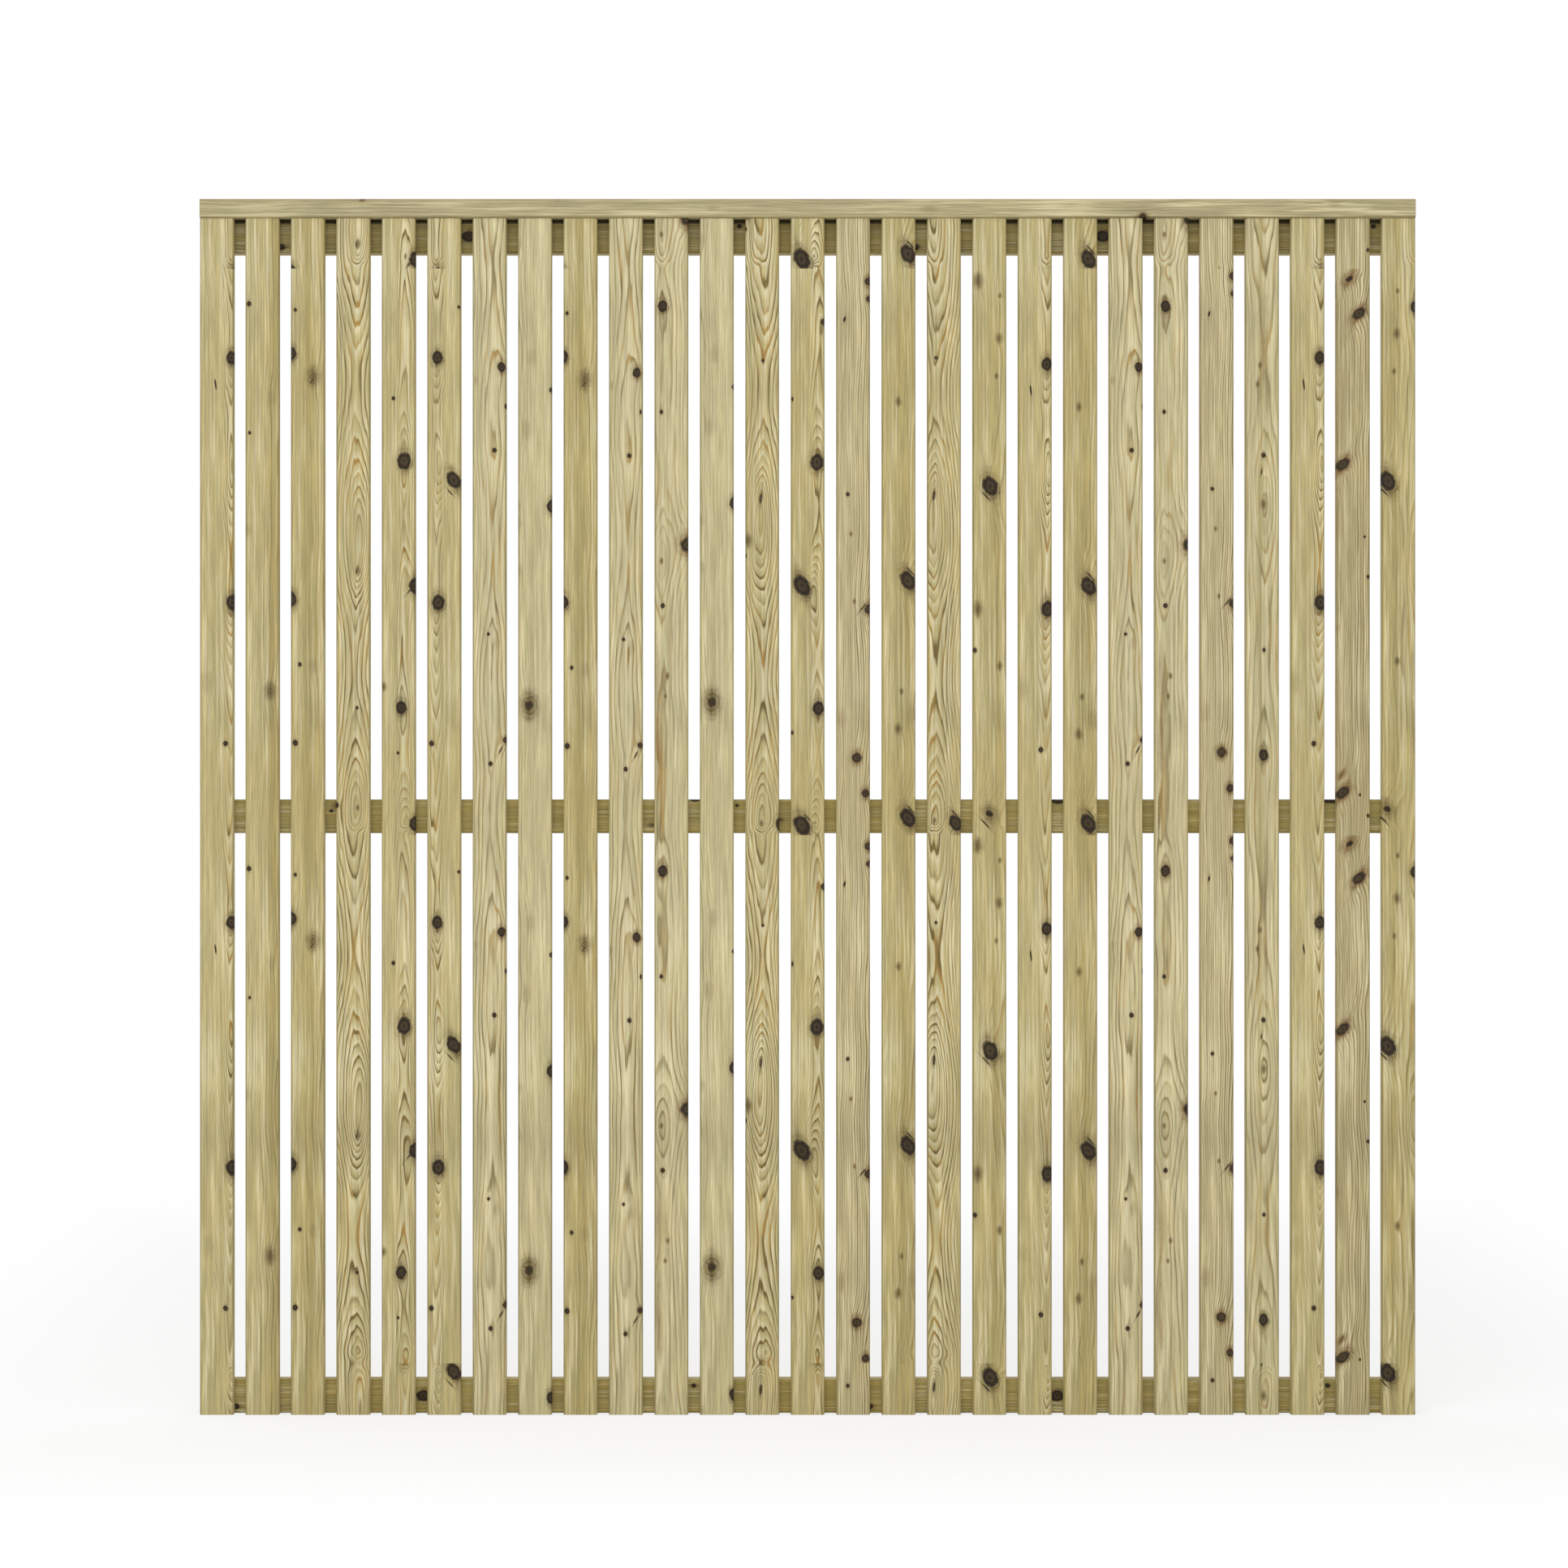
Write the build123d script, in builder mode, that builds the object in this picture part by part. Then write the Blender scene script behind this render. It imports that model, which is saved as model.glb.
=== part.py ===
from build123d import *
import os

# Privacy fence panel: upright slats on three rails, with a capping rail over their top ends.
# The frame: +Z up, +X to the right seen from the front, the front faces -Y.
# The origin is on the ground, midway along the panel and midway through the capping rail.
# All sizes are in millimetres.

# Slats: planed softwood, side by side with an open gap between each two
slat_count = 27
slat_width = 50.0
slat_thickness = 16.0
slat_gap = 17.3
slat_arris = 3.0

# Rails: three battens across the back of the slats
rail_height = 50.0
rail_thickness = 28.0
rail_arris = 3.0

# Capping rail: a batten laid flat, a little proud of the slats in front and of the rails behind
panel_height = 1800.0
cap_thickness = 28.0
cap_overhang = 3.0
cap_arris = 3.0

# Wire staples: driven from behind until the crown is flush with the back of the rail,
# with some wood left between their points and the slat's front face
staple_wire = 1.6
staple_crown = 12.0
staple_cover = 4.0
staple_point = 2.4
staple_turn = 45.0
staple_clearance = 0.05

# Brads with T-shaped heads: driven flush, down through the capping rail into the top rail
brad_bite = 32.0
brad_wire = 1.6
brad_head_width = 3.2
brad_head_height = 1.2
brad_point = 3.0
brad_every = 5
brad_clearance = 0.05

# Places that follow from the sizes above
slat_pitch = slat_width + slat_gap
panel_width = slat_count * slat_width + (slat_count - 1) * slat_gap
slat_length = panel_height - cap_thickness
frame_depth = slat_thickness + rail_thickness
slat_front = -frame_depth / 2
lap_plane = slat_front + slat_thickness
rail_back = frame_depth / 2
cap_depth = frame_depth + 2 * cap_overhang
staple_leg = frame_depth - staple_cover
brad_length = cap_thickness + brad_bite

first_slat_x = -(slat_count - 1) * slat_pitch / 2
slat_centres = [first_slat_x + number * slat_pitch for number in range(slat_count)]

bottom_rail_z = rail_height / 2
top_rail_z = slat_length - rail_height / 2
middle_rail_z = (bottom_rail_z + top_rail_z) / 2
rail_centres = {"top_rail": top_rail_z, "middle_rail": middle_rail_z, "bottom_rail": bottom_rail_z}

rail_y = (lap_plane + rail_back) / 2
brad_centres = [x + slat_pitch / 2 for x in slat_centres[:-1:brad_every]]
brad_planes = [Plane.XZ.offset(-rail_y).shift_origin((x, rail_y, panel_height)) for x in brad_centres]

end_plane = Plane.YZ.offset(-panel_width / 2)


def staple_plane(x, z):
    """The plane of one staple: its crown lies along the plane's X and its legs run down its Y.

    The crown is turned, so that its two legs never stand in one line of grain,
    neither of the rail nor of the slat.
    """
    return Plane(origin=(x, rail_back, z), x_dir=(1, 0, 0), z_dir=(0, 0, 1)).rotated((0, -staple_turn, 0))


# A staple seen flat: the crown, and two legs with chisel points
with BuildSketch() as staple_shape:
    outer = staple_crown / 2
    inner = outer - staple_wire
    shoulder = staple_leg - staple_point
    right = [(0, 0), (outer, 0), (outer, -staple_leg), (inner, -shoulder), (inner, -staple_wire)]
    left = [(-x, y) for x, y in reversed(right[1:])]
    with BuildLine():
        Polyline(*right, *left, close=True)
    make_face()

# The slot that it fills
slot_width = staple_wire + 2 * staple_clearance
with BuildSketch() as staple_slot:
    add(staple_shape.sketch)
    offset(amount=staple_clearance, kind=Kind.INTERSECTION)

# A brad seen from the front: the head, the shank and the point
with BuildSketch() as brad_shape:
    head = brad_head_width / 2
    shank = brad_wire / 2
    right = [(0, 0), (head, 0), (head, -brad_head_height), (shank, -brad_head_height)]
    right += [(shank, brad_point - brad_length), (0, -brad_length)]
    left = [(-x, y) for x, y in reversed(right[1:-1])]
    with BuildLine():
        Polyline(*right, *left, close=True)
    make_face()

# The hole that it fills
brad_hole_width = brad_wire + 2 * brad_clearance
with BuildSketch() as brad_hole:
    add(brad_shape.sketch)
    offset(amount=brad_clearance, kind=Kind.INTERSECTION)

os.makedirs("parts", exist_ok=True)

# The slats, numbered from the left as seen from the front
slat_y = (slat_front + lap_plane) / 2
for number, slat_x in enumerate(slat_centres, start=1):
    with BuildPart() as slat:
        with BuildSketch(Plane.XY):
            with Locations((slat_x, slat_y)):
                RectangleRounded(slat_width, slat_thickness, slat_arris)
        extrude(amount=slat_length)
        with BuildSketch(*[staple_plane(slat_x, rail_z) for rail_z in rail_centres.values()]):
            add(staple_slot.sketch)
        extrude(amount=slot_width / 2, both=True, mode=Mode.SUBTRACT)
    name = f"slat_{number:02d}"
    slat.part.label = name
    export_step(slat.part, f"parts/{name}.step")

# The rails, and the staples that hold the slats to each of them
for name, rail_z in rail_centres.items():
    crossings = [staple_plane(slat_x, rail_z) for slat_x in slat_centres]
    with BuildPart() as rail:
        with BuildSketch(end_plane):
            with Locations((rail_y, rail_z)):
                RectangleRounded(rail_thickness, rail_height, rail_arris)
        extrude(amount=panel_width)
        with BuildSketch(*crossings):
            add(staple_slot.sketch)
        extrude(amount=slot_width / 2, both=True, mode=Mode.SUBTRACT)
        if name == "top_rail":
            with BuildSketch(*brad_planes):
                add(brad_hole.sketch)
            extrude(amount=brad_hole_width / 2, both=True, mode=Mode.SUBTRACT)
    rail.part.label = name
    export_step(rail.part, f"parts/{name}.step")

    with BuildPart() as staples:
        with BuildSketch(*crossings):
            add(staple_shape.sketch)
        extrude(amount=staple_wire / 2, both=True)
    staples.part.label = f"{name}_staples"
    export_step(staples.part, f"parts/{name}_staples.step")

# The capping rail over the slats and the top rail
with BuildPart() as cap:
    with BuildSketch(end_plane):
        with Locations((0, panel_height - cap_thickness / 2)):
            RectangleRounded(cap_depth, cap_thickness, cap_arris)
    extrude(amount=panel_width)
    with BuildSketch(*brad_planes):
        add(brad_hole.sketch)
    extrude(amount=brad_hole_width / 2, both=True, mode=Mode.SUBTRACT)
cap.part.label = "cap"
export_step(cap.part, "parts/cap.step")

# The brads that hold it down
with BuildPart() as cap_brads:
    with BuildSketch(*brad_planes):
        add(brad_shape.sketch)
    extrude(amount=brad_wire / 2, both=True)
cap_brads.part.label = "cap_brads"
export_step(cap_brads.part, "parts/cap_brads.step")
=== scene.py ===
import math

import bmesh
import bpy
from mathutils import Matrix, Vector


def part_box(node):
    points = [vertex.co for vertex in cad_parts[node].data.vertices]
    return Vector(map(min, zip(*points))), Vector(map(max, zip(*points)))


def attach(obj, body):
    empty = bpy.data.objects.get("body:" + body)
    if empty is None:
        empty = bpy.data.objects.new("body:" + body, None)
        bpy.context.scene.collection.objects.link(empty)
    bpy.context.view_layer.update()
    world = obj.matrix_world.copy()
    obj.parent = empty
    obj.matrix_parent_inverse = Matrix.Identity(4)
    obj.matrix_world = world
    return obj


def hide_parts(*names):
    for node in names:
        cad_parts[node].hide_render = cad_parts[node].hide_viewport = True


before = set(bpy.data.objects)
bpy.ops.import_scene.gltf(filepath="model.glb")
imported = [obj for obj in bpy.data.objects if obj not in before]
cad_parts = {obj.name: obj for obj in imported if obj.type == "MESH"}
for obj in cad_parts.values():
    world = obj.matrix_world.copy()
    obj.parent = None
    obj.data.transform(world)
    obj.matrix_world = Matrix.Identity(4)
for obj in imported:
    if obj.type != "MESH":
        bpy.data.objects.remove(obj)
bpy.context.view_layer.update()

MM = 0.001

# The slats' knots come again further down, as in the photograph. Above the first seam they are those
# of this much further down. Each seam has its height, and how much further up they are read below it.
FIRST_STEP = -483.6 * MM
SEAMS = [(1697 * MM, 483.6 * MM), (858 * MM, 836.1 * MM), (76.5 * MM, 483.6 * MM)]

# How far from a seam the knots push the rings less, so that no ring is cut there
SEAM_FADE = 20 * MM

# The length in which a board bows a whole number of times
WAVE_REPEAT = 836.1 * MM

# A length longer than the panel, after which knots come again where a board states none, in millimetres
NO_REPEAT = 4000

# The staples' own sizes, as in the part's source, then how far their crowns are sunk into the rails,
# the inner radius of their shoulders, how sharp their points are, and how far their edges are rounded
STAPLE_WIRE = 1.6 * MM
STAPLE_CROWN = 12.0 * MM
STAPLE_LEG = 40.0 * MM
STAPLE_POINT = 2.4 * MM
STAPLE_TURN = 45.0
STAPLE_SUNK = 0.25 * MM
STAPLE_BEND = 0.5 * MM
BEND_STEPS = 5
POINT_TAPER = 0.8
STAPLE_EDGE = 0.2 * MM

# The brads, as in the part's source, and how much wider the pockets are than the steel in them
BRAD_EVERY = 5
BRAD_WIRE = 1.6 * MM
BRAD_HEAD_WIDTH = 3.2 * MM
BRAD_HEAD_HEIGHT = 1.2 * MM
POCKET_GAP = 0.3 * MM

# The timber's rounded arrises, as in the part's source, and how far its sawn ends are eased
ARRIS_RADIUS = 3.0 * MM
EASED_END = 0.6 * MM

# The flat map of a length's sides: how many columns it is cut into, and the gap between strips
MAP_COLUMNS = 4
MAP_GAP = 4.0 * MM

# What each sort of knot does to the wood: its length along the grain as a share of its width, how
# much of it the heart fills, the darkness of the heart, the darkness of the wood around the heart,
# and how hard it pushes the rings aside
KNOT_SORTS = {
    "dead": (1.25, 0.98, 1.0, 0.85, 0.8),
    "red": (0.95, 0.9, 0.9, 0.95, 0.9),
    "ringed": (0.85, 0.42, 1.0, 0.8, 0.8),
    "pin": (1.1, 1.05, 1.0, 0.6, 0.5),
    "smudge": (1.15, 0.46, 0.8, 1.0, 0.5),
    "shadow": (1.1, 0.6, 0.12, 0.85, 0.5),
    "faint": (1.3, 0.6, 0.0, 0.28, 0.5),
    "eye": (1.8, 0.6, 0.0, 0.1, 1.5),
    "spindle": (8.0, 0.6, 0.0, 0.36, 0.0),
    "slit": (6.0, 0.8, 1.0, 0.2, 0.2),
    "nick": (2.4, 0.8, 1.0, 0.4, 0.3),
    "slash": (3.6, 0.8, 0.8, 0.6, 0.2),
}

# Each kind of board. "pith": where the middle of the tree lay, across from the board's left edge and
# in front of its face. "lean": how much nearer the pith comes a metre up. "wave": how far it bows,
# how often in one repeat, and the height where it is furthest. "ring": the rings' width. "figure":
# how far to each side their pattern shows, and how strongly. "band": a band of heartwood, with its
# middle, half its width and its strength. "resin": how much of the latewood is orange with resin.
# "repeat": the length after which its knots come again. "knots": across from the left edge, height
# above the foot, radius, sort, and how far they slant. All lengths are in millimetres.
BOARDS = {
    "fishbone": {
        "pith": (14, 8), "lean": -68, "wave": (1.2, 2, 1300), "ring": 3.0, "figure": (10, 1.0),
        "knots": [
            (15.3, 1565, 7.4, "dead"), (39.4, 1384, 9.6, "dead", -0.3), (16.7, 1202.5, 8.8, "dead"),
            (6.5, 994, 3.2, "pin"), (-8.3, 1526, 1.5, "slit", -0.12), (-20, 1085, 7.0, "faint"),
            (34, 1366, 1.5, "slash", -0.9), (20, 1392, 6.0, "eye"), (47, 1640, 2.0, "pin"),
        ],
    },
    "olive": {
        "pith": (78, 44), "lean": 5, "wave": (0.6, 3, 1200), "ring": 3.6, "figure": (80, 0.5),
        "band": (27, 9, 0.7),
        "knots": [
            (1.0, 1571, 7.2, "dead"), (33, 1537, 8.0, "shadow"), (6.8, 1636, 2.2, "pin"),
            (0.5, 1207.5, 8.0, "dead"), (13.5, 1111, 2.5, "pin"), (6.8, 995, 3.5, "pin"),
            (33, 1108, 5.0, "faint"), (31, 1530, 1.2, "slash", 0.7),
        ],
    },
    "striped": {
        "pith": (80, 40), "lean": 5, "wave": (0.5, 3, 1300), "ring": 3.6, "figure": (80, 0.6),
        "band": (41, 7, 0.9),
        "knots": [
            (5.5, 1645, 3.0, "pin"), (6.5, 1454, 2.0, "pin"), (37, 1072, 7.0, "shadow"),
            (39, 1505, 5.0, "faint"), (4, 1310, 4.0, "faint"),
        ],
    },
    "cathedral": {
        "pith": (28, 17), "lean": -2, "wave": (7.8, 2, 1320), "ring": 3.9, "figure": (40, 1.15),
        "knots": [
            (32.8, 1258, 6.0, "eye"), (32, 1251, 3.5, "shadow"), (38, 1318, 8.0, "eye"),
            (31, 1047, 1.9, "pin"), (30, 1248, 1.2, "slash"), (32.5, 901, 7.0, "eye"),
            (32, 899, 2.5, "shadow"), (0.5, 903, 3.4, "pin"),
        ],
    },
    "mirrored": {
        "pith": (26, 17), "lean": 3, "wave": (7.6, 2, 1305), "ring": 3.9, "figure": (40, 1.15),
        "knots": [
            (17, 1297, 9.0, "eye"), (4, 1294, 5.5, "shadow"), (23, 1360, 6.0, "eye"),
            (23, 1357, 2.4, "slash", 0.1), (26, 1561, 2.0, "pin"), (1, 1272, 1.5, "nick"),
            (25, 875, 7.0, "eye"), (24, 876, 2.6, "shadow"), (55, 872, 9.0, "dead", -0.25),
            (56, 884, 2.0, "slash", -0.9),
        ],
    },
    "knotty": {
        "pith": (33, 9), "lean": 44, "wave": (1.6, 2, 1200), "ring": 3.2, "figure": (12, 1.0),
        "knots": [
            (17.3, 1505, 2.4, "pin"), (33.5, 1412, 9.6, "dead"),
            (50, 1227.4, 8.6, "dead"), (29, 1047, 7.4, "dead"), (24.3, 980, 1.9, "pin"),
            (3, 1078, 3.5, "shadow"), (43, 1222, 2.0, "slash", 0.8), (30, 1392, 5, "faint"),
            (50, 875, 8.4, "dead"), (37, 880, 5.0, "eye"),
        ],
    },
    "burly": {
        "pith": (40, 9), "lean": 56, "wave": (1.6, 2, 1200), "ring": 3.2, "figure": (12, 1.0),
        "knots": [
            (49, 1618, 4.0, "pin"), (38.8, 1410, 9.4, "dead"), (33, 1222, 6.0, "eye"),
            (16.5, 1227.4, 11.4, "dead", -0.3), (41, 1046, 7.8, "dead"), (2.4, 1504, 1.6, "nick"),
            (23, 1236, 2.0, "slash", -0.9), (2, 1010, 2.2, "pin"),
            (16.5, 873, 11.0, "dead", -0.25), (36, 874, 6.0, "eye"), (25, 884, 1.8, "slash", -0.9),
        ],
    },
    "pale": {
        "pith": (29, 18), "lean": 12, "wave": (3.2, 2, 1480), "ring": 4.0, "figure": (42, 0.75),
        "band": (24, 7, -0.8),
        "knots": [
            (43, 1551, 5.6, "dead"), (32.3, 1428, 3.0, "pin"), (49, 1493, 1.8, "nick"),
            (4.7, 1532, 3.0, "faint"), (23.6, 1156, 2.1, "pin"), (35, 1143, 4.5, "faint"),
            (48.5, 999, 4.2, "red"), (26.7, 964, 2.8, "pin"), (42, 985, 1.6, "slash", 0.5),
        ],
    },
    "starred": {
        "pith": (-24, 30), "lean": 7, "wave": (0.8, 3, 1250), "ring": 3.2, "figure": (50, 0.5),
        "knots": [
            (19, 1566, 6.0, "faint"), (13, 1458, 6.0, "faint"), (49.5, 1517, 3.0, "pin"),
            (50, 1345, 7.0, "dead"), (16.5, 1050, 10.5, "smudge"), (18, 1047, 1.6, "slash", 0.8),
            (12, 1053, 1.4, "slash", -0.7), (1, 1320, 4.0, "faint"), (1, 1250, 4.0, "faint"),
        ],
    },
    "grey": {
        "pith": (12, 22), "lean": 7, "wave": (1.5, 3, 1265), "ring": 4.4, "figure": (40, 0.6),
        "band": (30, 8, -0.6),
        "knots": [
            (12.3, 1641, 6.6, "dead"), (10.2, 1485, 2.5, "pin"), (50, 1288, 11.5, "red"),
            (10.8, 1266, 7.0, "eye"), (12.3, 1198, 3.0, "pin"), (19.7, 1094, 2.4, "shadow"),
            (16, 1064, 2.0, "shadow"), (4.5, 1096, 3.5, "spindle"), (5.5, 992, 4.4, "spindle"),
            (10.5, 1264, 2.5, "shadow"),
        ],
    },
    "rough": {
        "pith": (95, 16), "lean": 4, "wave": (1.2, 3, 1500), "ring": 3.5, "figure": (95, 1.2),
        "resin": 0.3,
        "knots": [
            (12.3, 1622, 1.9, "nick", 0.2), (48, 1678, 6.0, "red"), (48, 1652, 4.0, "red"),
            (17, 1363, 2.4, "pin"), (21.8, 1304, 2.0, "shadow"), (48.5, 1193, 7.0, "red"),
            (7.2, 1032, 6.0, "faint"), (30.5, 973, 7.5, "red"), (27, 1204, 2.0, "shadow"),
            (43.6, 920, 6.0, "red"), (40, 1196, 1.8, "slash", 0.8),
        ],
    },
    "golden": {
        "pith": (80, 40), "lean": 4, "wave": (1.0, 3, 1360), "ring": 3.8, "figure": (80, 0.5),
        "band": (33, 11, 0.6),
        "knots": [
            (25, 1500, 3.4, "shadow"), (38.9, 1235, 10.4, "dead", -0.25), (1, 1350, 5.0, "eye"),
            (24.4, 1016, 4.2, "shadow"), (29.3, 1071, 2.6, "shadow"), (46, 1038, 6.0, "faint"),
            (42.5, 1249, 2.0, "slash", -0.9), (38.9, 883.5, 10.4, "dead", -0.25),
            (42.5, 897, 2.0, "slash", -0.9),
        ],
    },
    "smoky": {
        "pith": (88, 60), "lean": 4, "wave": (0.8, 3, 1400), "ring": 4.2, "figure": (90, 0.5),
        "band": (34, 6, 0.6),
        "knots": [
            (7.8, 1679, 6.0, "shadow"), (40.4, 1657, 2.2, "shadow"), (39, 1594, 4.2, "shadow"),
            (35.3, 1538, 2.4, "shadow"), (26.1, 1375, 10.8, "dead", -0.2), (7.8, 1193, 6.0, "shadow"),
            (3.4, 1132, 2.8, "pin"), (40, 1109, 3.4, "shadow"), (66, 1633, 6.2, "dead"),
            (66, 1262, 7.0, "eye"), (20, 1360, 2.0, "slash", -0.9), (63, 1097, 2.8, "spindle"),
            (63, 1010, 3.0, "spindle"), (25, 890, 10.0, "ringed", -0.2), (19, 875, 2.0, "slash", -0.9),
        ],
    },
    "streaked": {
        "pith": (27, 26), "lean": 5, "wave": (2.4, 2, 1353), "ring": 4.6, "figure": (40, 0.6),
        "band": (22, 3, 0.7),
        "knots": [
            (21.8, 1554, 2.6, "shadow"), (18.1, 1526, 2.4, "shadow"), (26.8, 1420.6, 2.9, "pin"),
            (29, 1347, 8.0, "eye"), (27.5, 1132.6, 2.3, "pin"), (26.8, 977, 6.6, "dead"),
            (27, 1348, 4.0, "shadow"), (31, 1518, 3.6, "spindle"), (29, 1622, 4.0, "spindle"),
            (24, 1396, 1.4, "slash", 0.1), (34, 1118, 1.8, "spindle"),
        ],
    },
    "ridged": {
        "pith": (92, 16), "lean": 5, "wave": (1.4, 3, 1600), "ring": 3.8, "figure": (95, 0.9),
        "resin": 0.15,
        "knots": [
            (19.5, 1681.7, 9.6, "ringed", 0.45), (33.5, 1630.6, 9.2, "red", 0.5),
            (9.5, 1407, 9.6, "red", 0.5), (47, 1241, 2.2, "pin"), (42, 1300, 1.6, "pin"),
            (9.5, 921.5, 9.6, "red", 0.5), (8, 948, 4.6, "shadow", 0.5), (2, 1165, 3, "faint"),
            (47, 887, 2.2, "pin"), (35, 918, 1.6, "pin"),
        ],
    },
    "batten": {
        "pith": (-18, 14), "lean": 6, "wave": (1.5, 2, 600), "ring": 3.8, "figure": (70, 0.6),
        "band": (25, 80, 0.45), "repeat": 941,
        "knots": [
            (25, 461.5, 8.0, "dead"), (9, 740, 4.0, "dead"), (40, 60, 3.0, "pin"), (18, 610, 2.0, "pin"),
        ],
    },
    "middle": {
        "pith": (-22, 14), "lean": 6, "wave": (1.5, 2, 900), "ring": 3.8, "figure": (70, 0.5),
        "band": (25, 80, 0.45),
        "knots": [
            (49.5, 527, 6.4, "nick"), (49.5, 122.6, 6.4, "nick"), (50, 1066, 4.0, "nick"),
            (41, 1004.6, 2.0, "pin"), (20, 942, 3.5, "shadow"), (12, 1131, 3.5, "shadow"),
            (33, 1607, 2.4, "pin"), (40, 1593, 6.0, "dead"),
        ],
    },
    "capping": {
        "pith": (60, 30), "lean": 3, "wave": (1.0, 2, 500), "ring": 3.6, "figure": (70, 0.35),
        "knots": [
            (1.0, 404, 5.5, "red"), (20, 120, 4.0, "faint"), (12, 720, 5.0, "faint"),
            (27, 1270, 3.0, "faint"), (26, 1559, 2.5, "shadow"), (15, 1040, 4.0, "faint"),
        ],
    },
}

# The slats from the left: kind of board, how far it is shifted across and up, and its tone
SLATS = [
    ("fishbone", 31.6, 0, "straw"),
    ("striped", 0, 0, "straw"),
    ("olive", 0, 0, "olive"),
    ("cathedral", 0, 0, "straw"),
    ("knotty", 0, 0, "straw"),
    ("fishbone", 0, 0, "straw"),
    ("pale", 0, 0, "pale"),
    ("starred", 0, 0, "pale"),
    ("olive", -1.5, -5, "olive"),
    ("pale", -2, -8, "pale"),
    ("grey", 0, 0, "pale"),
    ("starred", 1.2, 5, "pale"),
    ("mirrored", 0, 0, "straw"),
    ("burly", 0, 0, "olive"),
    ("rough", 0, 0, "grey"),
    ("golden", 0, 0, "olive"),
    ("mirrored", -13, 4, "straw"),
    ("smoky", 0, 0, "olive"),
    ("fishbone", 27.2, -9.6, "straw"),
    ("golden", -2, -8, "olive"),
    ("pale", 1, 0, "pale"),
    ("grey", 4, 0, "pale"),
    ("rough", 1.3, 8, "grey"),
    ("streaked", 0, 0, "pale"),
    ("fishbone", 27.5, 0, "straw"),
    ("ridged", 0, 0, "weathered"),
    ("smoky", -17, 7, "olive"),
]

# The battens along the panel: kind, shift across and along, tone, and how dark the painted shade between
# the slats makes the front
BATTENS = {
    "top_rail": ("batten", 0, 0, "rail", 0.37),
    "middle_rail": ("middle", 0, 0, "rail", 0.13),
    "bottom_rail": ("batten", 1, 68, "rail", 0.01),
    "cap": ("capping", 0, 0, "cap", None),
}

# Colours of the wood, as the eye reads them
EARLYWOOD = {
    "straw": (190, 175, 121),
    "pale": (197, 185, 140),
    "olive": (188, 172, 116),
    "grey": (190, 176, 132),
    "weathered": (176, 161, 116),
    "rail": (181, 161, 86),
    "cap": (174, 162, 124),
}
CREAM = (211, 200, 160)
LATEWOOD = (116, 99, 54)
RESIN = (166, 132, 68)
HEARTWOOD = (164, 148, 92)
# The colour at the rounded arrises: painted shade where they turn away, and the treatment that gathers
# there
ARRIS_SHADE_AND_TINT = (146, 132, 76)
STAIN = (106, 88, 48)
RED_STAIN = (116, 84, 42)
GREEN_TINGE = (178, 174, 124)
KNOT_HEART = (69, 56, 35)
KNOT_RIM = (30, 21, 12)

# Colours of the zinc-coated wire: the coat where it has dulled most and least, and the rust on it
DULL_ZINC = (146, 148, 148)
BRIGHT_ZINC = (186, 188, 188)
RUST = (112, 72, 44)

# How deep the grain and the wire's roughness are, and how much of each wire has rusted
GRAIN_DEPTH = 0.2 * MM
WIRE_DEPTH = 0.1 * MM
STAPLE_RUST = 0.55
BRAD_RUST = 0.35

# How dark the capping rail's painted shadow is on a rail's front right under it, and how far down that
# reaches
CAP_SHADOW = 0.93
CAP_SHADOW_REACH = (4 * MM, 9.5 * MM)

# The floor is white to the camera, save round the panel, where this share of it keeps the shade.
# From the first to the second of these places, in metres from the panel, it turns white.
SHADE_SHARE = 0.35
SHADE_BESIDE = (1.05, 1.7)
SHADE_BEFORE = (-0.25, -0.9)
SHADE_BEHIND = (1.4, 3.2)
FLOOR_SIZE = 60.0
FLOOR_WHITE = (0.98, 0.98, 0.98, 1.0)
WHITE = (1.0, 1.0, 1.0, 1.0)

# The studio's light, in metres, watts and shares of white
SKY_STRENGTH = 0.78
KEY_SIZE = 3.4
KEY_POWER = 98.0
KEY_PLACE = (-0.8, -4.0, 4.9)
KEY_AIM = (0.0, 0.0, 0.9)

# The camera: its lens in millimetres, and its place in metres, away from the fronts of the slats
CAMERA_SENSOR = 36.0
CAMERA_LENS = 85.3
CAMERA_ASIDE = -0.035
CAMERA_AWAY = 5.5
CAMERA_HEIGHT = 0.934


def linear(colour):
    """Turn a colour as the eye reads it, 0 to 255, into the light it sends back."""
    shares = [value / 255 for value in colour]
    return tuple(v / 12.92 if v <= 0.04045 else ((v + 0.055) / 1.055) ** 2.4 for v in shares) + (1.0,)


def fresh_tree(owner):
    """Give a material or a world an empty tree of nodes."""
    owner.use_nodes = True
    owner.node_tree.nodes.clear()
    return owner.node_tree


def new_node(tree, kind, inputs=None, **settings):
    """Add a node, set it up, and link or set its inputs by name or number."""
    made = tree.nodes.new(kind)
    for name, value in settings.items():
        setattr(made, name, value)
    for name, value in (inputs or {}).items():
        if isinstance(value, bpy.types.NodeSocket):
            tree.links.new(value, made.inputs[name])
        else:
            made.inputs[name].default_value = value
    return made


def calc(tree, operation, *values):
    """Add one sum and give its result."""
    return new_node(tree, "ShaderNodeMath", dict(enumerate(values)), operation=operation).outputs[0]


def ramp(tree, value, low, high, start=0.0, end=1.0):
    """Turn a value that rises from low to high smoothly from start to end."""
    inputs = {"Value": value, "From Min": low, "From Max": high, "To Min": start, "To Max": end}
    made = new_node(tree, "ShaderNodeMapRange", inputs, interpolation_type="SMOOTHSTEP")
    return made.outputs["Result"]


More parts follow.
